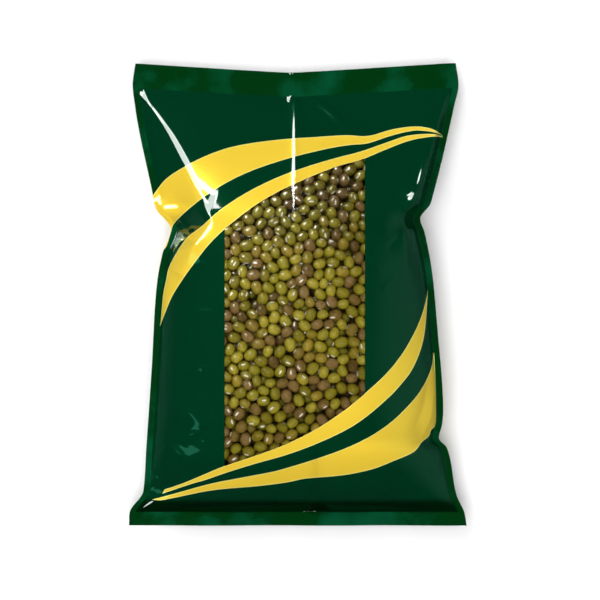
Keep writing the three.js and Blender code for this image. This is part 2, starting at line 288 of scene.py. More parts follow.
def pinches_at(x, y):
    height = np.zeros(np.shape(x))
    for start, end, width, rise in PINCHES:
        run = np.subtract(end, start)
        length = math.hypot(*run)
        away_x = x - start[0]
        away_y = y - start[1]
        s = (away_x * run[0] + away_y * run[1]) / length**2
        off = (away_x * run[1] - away_y * run[0]) / length
        before = np.maximum(0, -s) * length / width
        fade = np.where(s < 0, np.exp(-(before**2)), 1 - smoothstep(0, 1, s))
        height += rise * fade * np.exp(-((off / width) ** 2))
    return height


def ripple(x, y, wavelength, seed, waves=9):
    """Smooth unevenness about 0, as a sum of plane waves in all directions."""
    draw = np.random.default_rng(seed)
    total = np.zeros(np.shape(x))
    for _ in range(waves):
        angle, phase = draw.uniform(0, 2 * math.pi, 2)
        rate = 2 * math.pi / (wavelength * draw.uniform(*RIPPLE_SPREAD))
        total += np.sin(rate * (x * math.cos(angle) + y * math.sin(angle)) + phase)
    return total * math.sqrt(2 / waves)


fold_lines = [(line_through(points), widths, rise) for points, widths, rise in FOLDS.values()]


def relief_at(x, y):
    height = sum(size * ripple(x, y, length, seed) for length, size, seed in RIPPLES)
    for line, widths, rise in fold_lines:
        reach = FOLD_REACH * max(widths)
        low, high = line.min(0) - reach, line.max(0) + reach
        near = (x > low[0]) & (x < high[0]) & (y > low[1]) & (y < high[1])
        offset, share = beside(line, x[near], y[near])
        width = np.where(offset > 0, widths[0], widths[1])
        envelope = np.sin(math.pi * share) ** FOLD_ENDS
        height[near] += rise * envelope * np.exp(-np.abs(offset / width) ** FOLD_POWER)
    return height


def front_height(across, along, x):
    swell = swell_at(across, along)
    loose = np.minimum(1, FOLD_FADE * swell)
    folds = pinches_at(x, along) * loose * np.sign(front_rise(along))
    return seal_height(x, along) + FILM_PAIR / 2 + front_rise(along) * swell + folds


def back_height(across, along, x):
    swell = dome(across)
    loose = np.minimum(1, FOLD_FADE * swell)
    folds = pinches_at(x, along) * loose * np.sign(back_depth(along))
    height = seal_height(x, along) - FILM_PAIR / 2 - back_depth(along) * swell - folds
    blended = np.where(height < -FLOOR_BLEND, 0, (height + FLOOR_BLEND) ** 2 / (4 * FLOOR_BLEND))
    return np.where(height > FLOOR_BLEND, height, blended)


# ---- Print on the film ----
# Dark green ink with two pairs of gold swooshes, and an unprinted window between the inner
# two. Each swoosh lies between a far and a near edge line, drawn on the level of the side
# seals as it shows from SIGHT, high above the bag, and carried straight on to the film.

SIGHT = (0.9, -2.4, 1216)
PRINT_LEVEL = 16
SWOOSHES = {
    "upper_outer": (
        [
            (-63.1, 32.4), (-59.1, 37.8), (-56.9, 40.8), (-52.7, 46), (-45.5, 50.8), (-35.9, 55.6),
            (-24.7, 59.2), (-8.7, 61.6), (7.3, 62.8), (19.3, 63.5), (28.1, 63.2), (37.7, 65.8),
            (46.9, 67), (53.7, 66), (58, 63.2), (60.9, 59.6),
        ],
        [
            (-59.1, 12.8), (-55.1, 16.8), (-52.7, 18.8), (-50.7, 24.8), (-49.3, 28.4), (-43.1, 34.4),
            (-33.5, 41.6), (-20.7, 48.4), (-4.7, 54), (11.3, 58), (20.9, 59.6), (28.1, 60.3),
            (36.9, 63.2), (45.3, 65.2), (50.5, 65.3), (55.5, 64.4), (58, 63.2), (60.9, 62),
        ],
    ),
    "upper_inner": (
        [
            (-55.7, -19.2), (-55, -12.8), (-53.9, -0.8), (-52.7, 5.4), (-51.1, 11.6), (-45.1, 21.6),
            (-38.3, 27.2), (-31.1, 33.6), (-20.7, 40.4), (-8.7, 46.4), (3.3, 50.8), (15.3, 54.4),
            (24.9, 56.9), (33.3, 59.8), (41.9, 62.8), (46.1, 63.6), (50.9, 64), (55.5, 63.8),
            (58.1, 62.7), (61.7, 61.2),
        ],
        [
            (-56.7, -17.6), (-55, -12.8), (-52.3, -5.6), (-49.5, 0.4), (-43.1, 10), (-33.5, 22),
            (-20.7, 32.8), (-8.7, 40.4), (3.3, 46), (15.3, 50.8), (24.9, 53.5), (33.3, 57),
            (41.3, 60.2), (46.1, 61.7), (50.9, 62.6), (54.7, 63), (58.1, 62.7), (61.7, 62),
        ],
    ),
    "lower_inner": (
        [
            (-55.1, -82), (-53.7, -79), (-52.9, -78.1), (-48.9, -76.8), (-43.1, -74.6), (-29.3, -68.8),
            (-16.7, -64.5), (-4.7, -60), (7.3, -54), (19.3, -46), (28.9, -38), (35.7, -31.6),
            (40.9, -25.2), (44.9, -18.8), (48.1, -12.4), (50.4, -6), (52.1, 1.6), (53.3, 7.6),
        ],
        [
            (-59.1, -81.4), (-54, -79.8), (-43.3, -76.2), (-36.1, -74.1), (-29, -71.6), (-16.7, -67.8),
            (-4.7, -64.4), (7.3, -60), (19.3, -54.4), (27.3, -49.2), (35.3, -42.4), (39.7, -38),
            (44.9, -31.6), (48.1, -25.2), (50.1, -18.8), (51.1, -12.4), (51.6, -6), (52.1, 1.6),
            (52.3, 7.6),
        ],
    ),
    "lower_outer": (
        [
            (-63.1, -83.4), (-58.3, -82.2), (-54.3, -81.2), (-48.7, -79.7), (-41.3, -77.6),
            (-33.5, -75.6), (-26.3, -74.2), (-16.7, -72.4), (-8.7, -70.8), (-0.7, -68.5),
            (7.3, -66), (15.3, -63.2), (23.3, -59.9), (31.3, -55.6), (39.3, -49.6), (47.3, -41.2),
            (51.3, -34.8), (53.5, -29.2), (54.5, -23.2), (55.3, -16.4),
        ],
        [
            (-63.1, -82), (-58.3, -82.2), (-54.8, -82.5), (-48.4, -81.3), (-41.3, -79.8),
            (-36.1, -78.8), (-29, -77.9), (-16.7, -76.9), (-4.7, -75.4), (3.3, -73.8), (15.3, -72.8),
            (23.3, -71.6), (31.3, -69.6), (39.3, -66.4), (44.1, -64.4), (47.3, -62.4), (49.7, -59.2),
            (52.5, -56.8), (53.3, -54.4), (55.1, -52), (55.3, -42.4), (54.9, -30.4), (54.5, -23.2),
            (53.7, -16.4),
        ],
    ),
}
WINDOW_LEFT = -29.3
WINDOW_RIGHT = 26.9
WINDOW_LAP = 0.1  # how far the gold's own edge is taken as the window's, past the line
swoosh_lines = {
    name: tuple(line_through(points) for points in edges) for name, edges in SWOOSHES.items()
}


def seen_at(x, y, z):
    """Where a point shows on the print's level."""
    scale = (SIGHT[2] - PRINT_LEVEL) / (SIGHT[2] - z)
    return SIGHT[0] + (x - SIGHT[0]) * scale, SIGHT[1] + (y - SIGHT[1]) * scale


def window_top(x):
    line = swoosh_lines["upper_inner"][1]
    return np.interp(np.clip(x, WINDOW_LEFT, WINDOW_RIGHT), *line.T) + WINDOW_LAP


def window_bottom(x):
    line = swoosh_lines["lower_inner"][0]
    return np.interp(np.clip(x, WINDOW_LEFT, WINDOW_RIGHT), *line.T) - WINDOW_LAP


# ---- Mesh of the two panels ----
# Both panels are drawn on one grid of columns and rows. Lines of the grid follow the seals'
# inner lines and the window's edge, so each of these is sharp, and the columns crowd towards
# the seams, where the film turns down.

COLUMN_STRETCHES = {"left seal": 4, "left": 64, "window": 96, "right": 60, "right seal": 4}
ROW_STRETCHES = {"bottom seal": 8, "bottom": 56, "window": 160, "top": 76, "top seal": 24}
COLUMN_CROWDING = 0.6
MIDDLE_CROWDING = 0.6
SETTLING_PASSES = 10
FIRST_WINDOW_EDGES = [-0.5, 0.5]  # across, before they settle on the print
FIRST_WINDOW_ENDS = (-50, 40)  # along, likewise

column_ends = np.cumsum([0, *COLUMN_STRETCHES.values()])
row_ends = np.cumsum([0, *ROW_STRETCHES.values()])
columns, rows = column_ends[-1], row_ends[-1]


def crowded(share):
    """Shares of the way from a seam, smaller near it."""
    return lerp(share, share**2, COLUMN_CROWDING)


def crowded_in_middle(share):
    turn = 2 * math.pi
    return share - MIDDLE_CROWDING * np.sin(turn * (share - 0.5)) / turn


def lay_out_grid():
    """across and along of every grid point."""
    seam_left, window_left, window_right, seam_right = column_ends[1:5]
    in_left = crowded(np.linspace(0, 1, window_left - seam_left + 1))
    in_window = crowded_in_middle(np.linspace(0, 1, window_right - window_left + 1))
    in_right = 1 - crowded(np.linspace(1, 0, seam_right - window_right + 1))
    across = np.zeros((rows + 1, columns + 1))
    along = np.zeros((rows + 1, columns + 1))
    window_edges = np.array([FIRST_WINDOW_EDGES] * (rows + 1))
    ends = [np.full(columns + 1, level, float) for level in
            (-HALF_LENGTH, BODY_BOTTOM, *FIRST_WINDOW_ENDS, BODY_TOP, HALF_LENGTH)]
    for _ in range(SETTLING_PASSES):
        left, right = window_edges[:, :1], window_edges[:, 1:]
        across[:, : seam_left + 1] = -1
        across[:, seam_left : window_left + 1] = lerp(-1, left, in_left)
        across[:, window_left : window_right + 1] = lerp(left, right, in_window)
        across[:, window_right : seam_right + 1] = lerp(right, 1, in_right)
        across[:, seam_right:] = 1
        for first, last, low, high in zip(row_ends, row_ends[1:], ends, ends[1:]):
            share = np.linspace(0, 1, last - first + 1)[:, None]
            along[first : last + 1] = lerp(low, high, share)
        x = across_to_x(across, along)
        z = front_height(across, along, x)
        seen_x, seen_y = seen_at(x, along - sag_at(x, along), z)
        half_width = (across_to_x(1, along) - across_to_x(-1, along)) / 2
        for edge, column, goal in ((0, window_left, WINDOW_LEFT), (1, window_right, WINDOW_RIGHT)):
            window_edges[:, edge] += ((goal - seen_x) / half_width)[:, column]
        for end, row, goal in ((2, row_ends[2], window_bottom), (3, row_ends[3], window_top)):
            ends[end] = ends[end] + goal(seen_x[row]) - seen_y[row]
    return across, along


grid_across, grid_along = lay_out_grid()
grid_x = across_to_x(grid_across, grid_along)
for seal, seam, edge in (
    (slice(0, column_ends[1] + 1), column_ends[1], left_edge),
    (slice(columns, column_ends[4] - 1, -1), column_ends[4], right_edge),
):
    share = np.linspace(0, 1, column_ends[1] + 1)
    grid_x[:, seal] = lerp(edge(grid_along[:, seal]), grid_x[:, [seam]], share)
grid_y = grid_along - sag_at(grid_x, grid_along)

front_z = front_height(grid_across, grid_along, grid_x)
back_z = back_height(grid_across, grid_along, grid_x)
relief = relief_at(*seen_at(grid_x, grid_y, front_z))
loose = FOLD_FADE * swell_at(grid_across, grid_along) * np.sign(front_rise(grid_along))
stuck = 1 - np.minimum(1, loose)  # 1 where the panels are sealed to each other
front_z = front_z + relief
back_z = np.maximum(back_z + relief * stuck, 0)
front_grid = np.stack([grid_x, grid_y, front_z], -1) * MM
back_grid = np.stack([grid_x, grid_y, back_z], -1) * MM


def add_panel(bm, grid):
    """A grid of faces through the points, and its faces listed by row and column."""
    row_count, column_count = grid.shape[0] - 1, grid.shape[1] - 1
    made = bmesh.ops.create_grid(bm, x_segments=column_count, y_segments=row_count, size=1)
    faces = {}
    for vertex in made["verts"]:
        column = round((vertex.co.x + 1) / 2 * column_count)
        row = round((vertex.co.y + 1) / 2 * row_count)
        vertex.co.z = row * (column_count + 1) + column
    for face in {f for vertex in made["verts"] for f in vertex.link_faces}:
        row, column = divmod(round(min(v.co.z for v in face.verts)), column_count + 1)
        faces[row, column] = face
    for vertex in made["verts"]:
        row, column = divmod(round(vertex.co.z), column_count + 1)
        vertex.co = grid[row, column]
    return faces


def finish_mesh(bm, name):
    """A smooth-shaded object from the bmesh, at the origin."""
    for face in bm.faces:
        face.smooth = True
    mesh = bpy.data.meshes.new(name)
    bm.to_mesh(mesh)
    bm.free()
    made = bpy.data.objects.new(name, mesh)
    bpy.context.scene.collection.objects.link(made)
    return made


front_bm = bmesh.new()
front_faces = add_panel(front_bm, front_grid)
cut_out = [
    face for (row, column), face in front_faces.items()
    if row_ends[2] <= row < row_ends[3] and column_ends[2] <= column < column_ends[3]
]
bmesh.ops.delete(front_bm, geom=cut_out, context="FACES")
front_film = finish_mesh(front_bm, "front_film")

back_bm = bmesh.new()
add_panel(back_bm, back_grid)
bmesh.ops.reverse_faces(back_bm, faces=back_bm.faces)
rim = [edge for edge in back_bm.edges if edge.is_boundary]
edge_strip = bmesh.ops.extrude_edge_only(back_bm, edges=rim)
raised = [v for v in edge_strip["geom"] if isinstance(v, bmesh.types.BMVert)]
bmesh.ops.translate(back_bm, verts=raised, vec=(0, 0, FILM_PAIR * MM))
back_film = finish_mesh(back_bm, "back_film")

# ---- Ink and gloss of the film ----
# Reverse-printed film: the inks, with a little metallic pigment, lie under a clear gloss
# layer, and a thin paler line runs round the gold. The seals, pressed flat, are a warmer green
# with pale scuffs. Just above the bottom seal the green is darkened as painted shade, where the
# film curls under.

BODY_GREEN = (0.0003, 0.032, 0.0115, 1)
FOOT_PAINTED_SHADE = (0.0003, 0.009, 0.002, 1)  # painted shade where the film curls under, just above the bottom seal
FOOT = 6.5
SEAL_GREEN = (0.0004, 0.031, 0.0045, 1)
SEAL_SCUFF = (0.0014, 0.065, 0.024, 1)
GOLD = (0.77, 0.535, 0.042, 1)
GOLD_EDGE = (0.90, 0.80, 0.24, 1)
GOLD_EDGE_WIDTH = 0.3
INK_EDGE = 0.03  # width over which one ink gives way to the next
SEAL_EDGE = 0.4
SCUFFS_FROM = 0.45
SCUFFS_FULL = 0.7


def node(tree, kind, inputs=(), **settings):
    """A new node with its settings, each input given a value or linked to a socket."""
    made = tree.nodes.new(kind)
    for name, value in settings.items():
        setattr(made, name, value)
    for key, value in dict(inputs).items():
        if isinstance(value, bpy.types.NodeSocket):
            tree.links.new(value, made.inputs[key])
        else:
            made.inputs[key].default_value = value
    return made


def maths(tree, operation, *values):
    return node(tree, "ShaderNodeMath", dict(enumerate(values)), operation=operation).outputs[0]


def step_up(tree, value, start, end):
    """0 below start and 1 above end."""
    inputs = {"Value": value, "From Min": start, "From Max": end}
    return node(tree, "ShaderNodeMapRange", inputs, interpolation_type="SMOOTHSTEP").outputs[0]


def blend_colour(tree, share, first, second):
    mixed = node(tree, "ShaderNodeMix", {0: share, 6: first, 7: second}, data_type="RGBA")
    return mixed.outputs[2]


def attribute(tree, name):
    return node(tree, "ShaderNodeAttribute", attribute_name=name)


def new_material(name):
    material = bpy.data.materials.new(name)
    material.use_nodes = True
    tree = material.node_tree
    return material, tree, tree.nodes["Principled BSDF"]


def add_bump(tree, shader, height, mottle_and_painted_shade, distance):
    inputs = {"Height": height, "Strength": mottle_and_painted_shade, "Distance": distance}
    normal = node(tree, "ShaderNodeBump", inputs).outputs[0]
    for name in ("Normal", "Coat Normal"):
        tree.links.new(normal, shader.inputs[name])


def printed_film():
    material, tree, shader = new_material("printed film")
    depths = []
    for name in SWOOSHES:
        edges = node(tree, "ShaderNodeSeparateXYZ", {0: attribute(tree, name).outputs["Vector"]})
        depths.append(maths(tree, "MINIMUM", edges.outputs[0], edges.outputs[1]))
    gold_depth = depths[0]
    for depth in depths[1:]:
        gold_depth = maths(tree, "MAXIMUM", gold_depth, depth)
    seals = node(tree, "ShaderNodeSeparateXYZ", {0: attribute(tree, "into_seals").outputs["Vector"]})
    place = node(tree, "ShaderNodeTexCoord").outputs["Object"]
    scuffs = node(tree, "ShaderNodeTexNoise", {"Vector": place, "Scale": 60, "Detail": 5})
    scuffed = step_up(tree, scuffs.outputs[0], SCUFFS_FROM, SCUFFS_FULL)
    seal_green = blend_colour(tree, scuffed, SEAL_GREEN, SEAL_SCUFF)
    into_seal = maths(tree, "MAXIMUM", maths(tree, "MAXIMUM", *seals.outputs[:2]), seals.outputs[2])
    # Painted shade: the body green darkens towards the bottom seal, where the film curls under.
    in_painted_foot_shade = step_up(tree, seals.outputs[2], -FOOT, -FOOT / 2)
    body_green_with_painted_shade = blend_colour(tree, in_painted_foot_shade, BODY_GREEN, FOOT_PAINTED_SHADE)
    green = blend_colour(tree, step_up(tree, into_seal, 0, SEAL_EDGE), body_green_with_painted_shade, seal_green)
    rim_line = step_up(tree, gold_depth, GOLD_EDGE_WIDTH, GOLD_EDGE_WIDTH / 2)
    gold = blend_colour(tree, rim_line, GOLD, GOLD_EDGE)
    is_gold = step_up(tree, gold_depth, -INK_EDGE / 2, INK_EDGE / 2)
    colour = blend_colour(tree, is_gold, green, gold)
    tree.links.new(colour, shader.inputs["Base Color"])
    shader.inputs["Metallic"].default_value = 0.12
    shader.inputs["Roughness"].default_value = 0.2
    shader.inputs["Specular IOR Level"].default_value = 0
    shader.inputs["Coat Weight"].default_value = 1
    shader.inputs["Coat Roughness"].default_value = 0.05
    crinkle = node(tree, "ShaderNodeTexNoise", {"Vector": place, "Scale": 220, "Detail": 3})
    add_bump(tree, shader, crinkle.outputs[0], 0.05, 0.0002)
    return material


def place_along(x, y, rounds=4):
    """The place along the bag that the sag moved to y, as seen from above."""
    along = y
    for _ in range(rounds):
        along = y + sag_at(x, along)
    return along


def store(made, name, kind, values):
    """Keeps a number or a vector for every point of the mesh, for its material to read."""
    layer = made.data.attributes.new(name, kind, "POINT")
    field = "vector" if kind == "FLOAT_VECTOR" else "value"
    layer.data.foreach_set(field, values.astype(np.float32).ravel())


def measure_print(film):
    """Attributes in mm: how far each point lies inside each swoosh's edges, and into each seal."""
    points = np.array([v.co for v in film.data.vertices]) / MM
    x, y, z = points.T
    print_x, print_y = seen_at(x, y, z)
    for name, (far, near) in swoosh_lines.items():
        inside = np.stack([-beside(far, print_x, print_y)[0], beside(near, print_x, print_y)[0],
                           np.zeros(len(x))], -1)
        store(film, name, "FLOAT_VECTOR", inside)
    along = place_along(x, y)
    from_side = np.minimum(x - left_edge(along), right_edge(along) - x)
    into_seals = np.stack([SIDE_SEAL - from_side, along - BODY_TOP, BODY_BOTTOM - along], -1)
    store(film, "into_seals", "FLOAT_VECTOR", into_seals)


film_ink = printed_film()
for film in (front_film, back_film):
    measure_print(film)
    film.data.materials.append(film_ink)
    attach(film, "root")
    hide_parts("pouch")

# ---- Window ----
# The same film without ink, so that the beans show through it. Its mesh continues the front
# panel's, point for point, where the printed film leaves it out.

window_bm = bmesh.new()
in_window = (slice(row_ends[2], row_ends[3] + 1), slice(column_ends[2], column_ends[3] + 1))
add_panel(window_bm, front_grid[in_window])
window_film = finish_mesh(window_bm, "window_film")


def clear_film():
    material, tree, shader = new_material("clear film")
    tree.nodes.remove(shader)
    see_through = node(tree, "ShaderNodeBsdfTransparent", {"Color": (0.97, 0.97, 0.95, 1)})
    gloss = node(tree, "ShaderNodeBsdfGlossy", {"Color": (1, 1, 1, 1), "Roughness": 0.08})
    facing = node(tree, "ShaderNodeFresnel", {"IOR": 1.5})
    shown = node(tree, "ShaderNodeMixShader",
                 {0: facing.outputs[0], 1: see_through.outputs[0], 2: gloss.outputs[0]})
    tree.links.new(shown.outputs[0], tree.nodes["Material Output"].inputs["Surface"])
    return material


window_film.data.materials.append(clear_film())
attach(window_film, "root")
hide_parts("pouch")

# ---- Beans ----
# Dried mung beans, about 5.3 mm long: blunt, slightly bent seeds with a pale scar on one
# side, olive green with brown ones among them. They lie loose under the window, pressed up
# against the film by the ones beneath, and their colour is darkened with their depth under it,
# as painted shade.

BEAN_LENGTH = 5.3
BEAN_WIDTH = 4.4
BEAN_DEPTH = 4.3
BEAN_COUNT = 780
BEAN_BLUNTNESS = 0.9
BEAN_BEND = 0.3
BEND_CENTRE = 0.4  # keeps the bent bean over its own middle
BEAN_SEGMENTS = 10
BEAN_RINGS = 7
HEAP_DEPTH = 8.5
HEAP_MARGIN = 2.5
FILM_GAP = 0.15
SCATTER_SIDE = 3  # how far past the window's sides the beans start
SCATTER_ALONG = (-72, 58)
SCATTER_BATCH = 400
TILT_SPREAD = 0.3
SIZE_SPREAD = 0.06
SIZE_LIMITS = (0.84, 1.12)
SETTLING_ROUNDS = 90
LIST_EVERY = 10  # rounds between two listings of the beans that lie near each other
NEARBY = 1.6  # in bean lengths
PUSH_SHARE = 0.2
RISE_PER_ROUND = 0.12

draw = np.random.default_rng(11)


def film_at(x, y):
    """Height of the front film over a point seen from above."""
    along = place_along(x, y)
    z = front_height(x_to_across(x, along), along, x)
    return z + relief_at(*seen_at(x, y, z))


def film_normal(x, y, step=0.2):
    """Unit normal of the front film over each point, pointing up."""
    slope_x = (film_at(x + step, y) - film_at(x - step, y)) / (2 * step)
    slope_y = (film_at(x, y + step) - film_at(x, y - step)) / (2 * step)
    normal = np.stack([-slope_x, -slope_y, np.ones_like(x)], -1)
    return normal / np.linalg.norm(normal, axis=1, keepdims=True)


def window_reach(x, y):
    """How far inside the window's outline, grown by the margin, a point shows."""
    seen_x, seen_y = seen_at(x, y, film_at(x, y))
    return np.minimum.reduce([
        seen_x - WINDOW_LEFT, WINDOW_RIGHT - seen_x,
        window_top(seen_x) - seen_y, seen_y - window_bottom(seen_x),
    ]) + HEAP_MARGIN


def scatter_beans():
    """Starting places through the heap, at random."""
    spots = np.zeros((0, 3))
    while len(spots) < BEAN_COUNT:
        x = draw.uniform(WINDOW_LEFT - SCATTER_SIDE, WINDOW_RIGHT + SCATTER_SIDE, SCATTER_BATCH)
        y = draw.uniform(*SCATTER_ALONG, SCATTER_BATCH)
        inside = window_reach(x, y) > 0
        z = film_at(x, y) - draw.uniform(BEAN_DEPTH / 2, HEAP_DEPTH, SCATTER_BATCH)
        spots = np.vstack([spots, np.stack([x, y, z], -1)[inside]])
    return spots[:BEAN_COUNT]


def settle(spots, axes, sizes):
    """Pushes beans that overlap apart, each taken as two balls along its axis."""
    half = (BEAN_LENGTH - BEAN_WIDTH) / 2
    for turn in range(SETTLING_ROUNDS):
        if turn % LIST_EVERY == 0:
            gap = np.linalg.norm(spots[:, None] - spots[None], axis=-1)
            first, second = np.nonzero(np.triu(gap < BEAN_LENGTH * NEARBY, 1))
            normals = film_normal(spots[:, 0], spots[:, 1])
            leans = np.sum(axes * normals, 1)
            reach = np.hypot(BEAN_LENGTH / 2 * leans, BEAN_WIDTH / 2 * np.sqrt(1 - leans**2))
            clearance = (reach * sizes + FILM_GAP) / normals[:, 2]
        push = np.zeros_like(spots)
        for end_a in (-half, half):
            for end_b in (-half, half):
                apart = (spots + end_a * axes)[first] - (spots + end_b * axes)[second]
                distance = np.linalg.norm(apart, axis=1)
                touch = BEAN_WIDTH * (sizes[first] + sizes[second]) / 2
                overlap = np.maximum(0, touch - distance) / np.maximum(distance, 1e-6)
                shift = apart * overlap[:, None] * PUSH_SHARE
                np.add.at(push, first, shift)
                np.add.at(push, second, -shift)
        spots = spots + push
        spots[:, 2] += RISE_PER_ROUND
        roof = film_at(spots[:, 0], spots[:, 1]) - clearance
        spots[:, 2] = np.clip(spots[:, 2], roof - HEAP_DEPTH, roof)
        spots[:, 0] = np.clip(spots[:, 0], WINDOW_LEFT - HEAP_MARGIN, WINDOW_RIGHT + HEAP_MARGIN)
    return spots


spots = scatter_beans()
headings = draw.uniform(0, 2 * math.pi, BEAN_COUNT)
tilts = draw.normal(0, TILT_SPREAD, BEAN_COUNT)
rolls = draw.uniform(0, 2 * math.pi, BEAN_COUNT)
sizes = np.clip(draw.normal(1, SIZE_SPREAD, BEAN_COUNT), *SIZE_LIMITS)
tones = draw.uniform(0, 1, BEAN_COUNT)
level = np.cos(tilts)
axes = np.stack([np.cos(headings) * level, np.sin(headings) * level, np.sin(tilts)], -1)
spots = settle(spots, axes, sizes)

bean_bm = bmesh.new()
bmesh.ops.create_uvsphere(bean_bm, u_segments=BEAN_SEGMENTS, v_segments=BEAN_RINGS, radius=1)
for vertex in bean_bm.verts:
    unit = vertex.co.copy()
    blunt = [math.copysign(abs(c) ** BEAN_BLUNTNESS, c) for c in unit]
    vertex.co.x = blunt[0] * BEAN_WIDTH / 2 + BEAN_BEND * (BEND_CENTRE - unit.z**2)
    vertex.co.y = blunt[1] * BEAN_DEPTH / 2
    vertex.co.z = blunt[2] * BEAN_LENGTH / 2
one_bean = bpy.data.meshes.new("one bean")
bean_bm.to_mesh(one_bean)
own_places = np.array([v.co for v in bean_bm.verts])
bean_bm.free()

beans_bm = bmesh.new()
for _ in range(BEAN_COUNT):
    beans_bm.from_mesh(one_bean)
beans = finish_mesh(beans_bm, "beans")
bpy.data.meshes.remove(one_bean)
turns = np.array([
    Vector(axis).to_track_quat("Z", "Y").to_matrix() @ Matrix.Rotation(roll, 3, "Z")
    for axis, roll in zip(axes, rolls)
])
placed = spots[:, None] + np.einsum("bij,vj->bvi", turns, own_places) * sizes[:, None, None]
beans.data.vertices.foreach_set("co", (placed * MM).astype(np.float32).ravel())
all_places = placed.reshape(-1, 3)
# Depth of each point under the film, which the coat's painted shade darkens with.
depths = film_at(all_places[:, 0], all_places[:, 1]) - all_places[:, 2]
store(beans, "on_bean", "FLOAT_VECTOR", np.tile(own_places, (BEAN_COUNT, 1)))
store(beans, "tone", "FLOAT", np.repeat(tones, len(own_places)))
store(beans, "depth", "FLOAT", depths)
beans.data.update()

COAT_SHADES = [  # by tone: olive greens, then browns from 0.74
    (0.0, (0.33, 0.275, 0.026)), (0.25, (0.245, 0.21, 0.014)), (0.5, (0.165, 0.136, 0.008)),
    (0.66, (0.28, 0.205, 0.022)), (0.74, (0.15, 0.092, 0.02)), (0.87, (0.21, 0.128, 0.042)),
    (1.0, (0.09, 0.05, 0.012)),
]
PATCH_SPACING = 900  # sets the beans apart in the noise, so that no two are mottled alike
MOTTLE_DARKEST = 0.76
MOTTLE_PALEST = 1.3
# Painted shade: the coat darkens from LIT_DEPTH to DARK_DEPTH under the film, down to DEEP_SHADE.
LIT_DEPTH = 0.8
DARK_DEPTH = 4.2
DEEP_SHADE = 0.2
SCAR = (0.75, 0.72, 0.58, 1)
SCAR_HALF_LENGTH = 1.05
SCAR_HALF_WIDTH = 0.36
SCAR_SIDE = (1.2, 1.6)  # from the bean's middle, where the scar starts and is full
SCAR_BLEND = (1.1, 0.8)
SCAR_RIM = (0.05, 0.03, 0.01, 1)
RIM_BLEND = (2.4, 1.2)
RIM_STRENGTH = 0.55


def bean_coat():
    material, tree, shader = new_material("bean seed coat")
    tone = attribute(tree, "tone").outputs["Fac"]
    own = attribute(tree, "on_bean").outputs["Vector"]
    ramp = node(tree, "ShaderNodeValToRGB", {0: tone})
    stops = ramp.color_ramp.elements
    while len(stops) < len(COAT_SHADES):
        stops.new(0.5)
    for stop, (place, shade) in zip(stops, COAT_SHADES):
        stop.position = place
        stop.color = (*shade, 1)
    offset = node(tree, "ShaderNodeCombineXYZ", {0: maths(tree, "MULTIPLY", tone, PATCH_SPACING)})
    patch = node(tree, "ShaderNodeVectorMath", {0: own, 1: offset.outputs[0]}, operation="ADD")
    mottle = node(tree, "ShaderNodeTexNoise",
                  {"Vector": patch.outputs[0], "Scale": 0.9, "Detail": 3, "Roughness": 0.6})
    shaded = node(tree, "ShaderNodeMapRange",
                  {"Value": mottle.outputs[0], "From Min": 0.3, "From Max": 0.7,
                   "To Min": MOTTLE_DARKEST, "To Max": MOTTLE_PALEST})
    # Painted shade: the coat's colour is scaled down with the point's depth under the film.
    painted_depth_shade = node(tree, "ShaderNodeMapRange",
                {"Value": attribute(tree, "depth").outputs["Fac"],
                 "From Min": LIT_DEPTH, "From Max": DARK_DEPTH, "To Min": 1, "To Max": DEEP_SHADE})
    mottle_and_painted_shade = maths(tree, "MULTIPLY", shaded.outputs[0], painted_depth_shade.outputs[0])
    coat = node(tree, "ShaderNodeVectorMath",
                {0: ramp.outputs[0], "Scale": mottle_and_painted_shade}, operation="SCALE").outputs[0]
    parts = node(tree, "ShaderNodeSeparateXYZ", {0: own})
    long_way = maths(tree, "DIVIDE", parts.outputs[2], SCAR_HALF_LENGTH)
    cross_way = maths(tree, "DIVIDE", parts.outputs[1], SCAR_HALF_WIDTH)
    squares = [maths(tree, "POWER", way, 2.0) for way in (long_way, cross_way)]
    spread = maths(tree, "ADD", *squares)
    on_side = step_up(tree, parts.outputs[0], *SCAR_SIDE)
    rim = maths(tree, "MULTIPLY", step_up(tree, spread, *RIM_BLEND), on_side)
    scar = maths(tree, "MULTIPLY", step_up(tree, spread, *SCAR_BLEND), on_side)
    rimmed = blend_colour(tree, maths(tree, "MULTIPLY", rim, RIM_STRENGTH), coat, SCAR_RIM)
    colour = blend_colour(tree, scar, rimmed, SCAR)
    tree.links.new(colour, shader.inputs["Base Color"])
    shader.inputs["Roughness"].default_value = 0.3
    shader.inputs["IOR"].default_value = 1.8
    shader.inputs["Specular IOR Level"].default_value = 0.8
    fine = node(tree, "ShaderNodeTexNoise", {"Vector": own, "Scale": 2.2, "Detail": 2})
    add_bump(tree, shader, fine.outputs[0], 0.1, 0.00005)
    return material


beans.data.materials.append(bean_coat())
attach(beans, "root")
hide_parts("beans")

# ---- Beans beneath ----
# The rest of the filling under the loose beans, as one bumpy bed that shows only in the gaps
# between them. Its colour is far darker than the beans', as painted shade in those gaps. It
# follows the film and ends under the print.

BED_TOP = 6.6
BED_BOTTOM = 10.5
BED_COLUMNS = 60
BED_ROWS = 120
BED_MARGIN = 2.0
BUMP_SIZE = 5
BUMP_HEIGHT = 1.2
BUMP_SKEW = 0.5
# Painted shade: the bed is coloured near black, for the shade between the beans.
BED_SHADE_PALE = (0.018, 0.012, 0.001, 1)
BED_SHADE_DEEP = (0.005, 0.003, 0, 1)

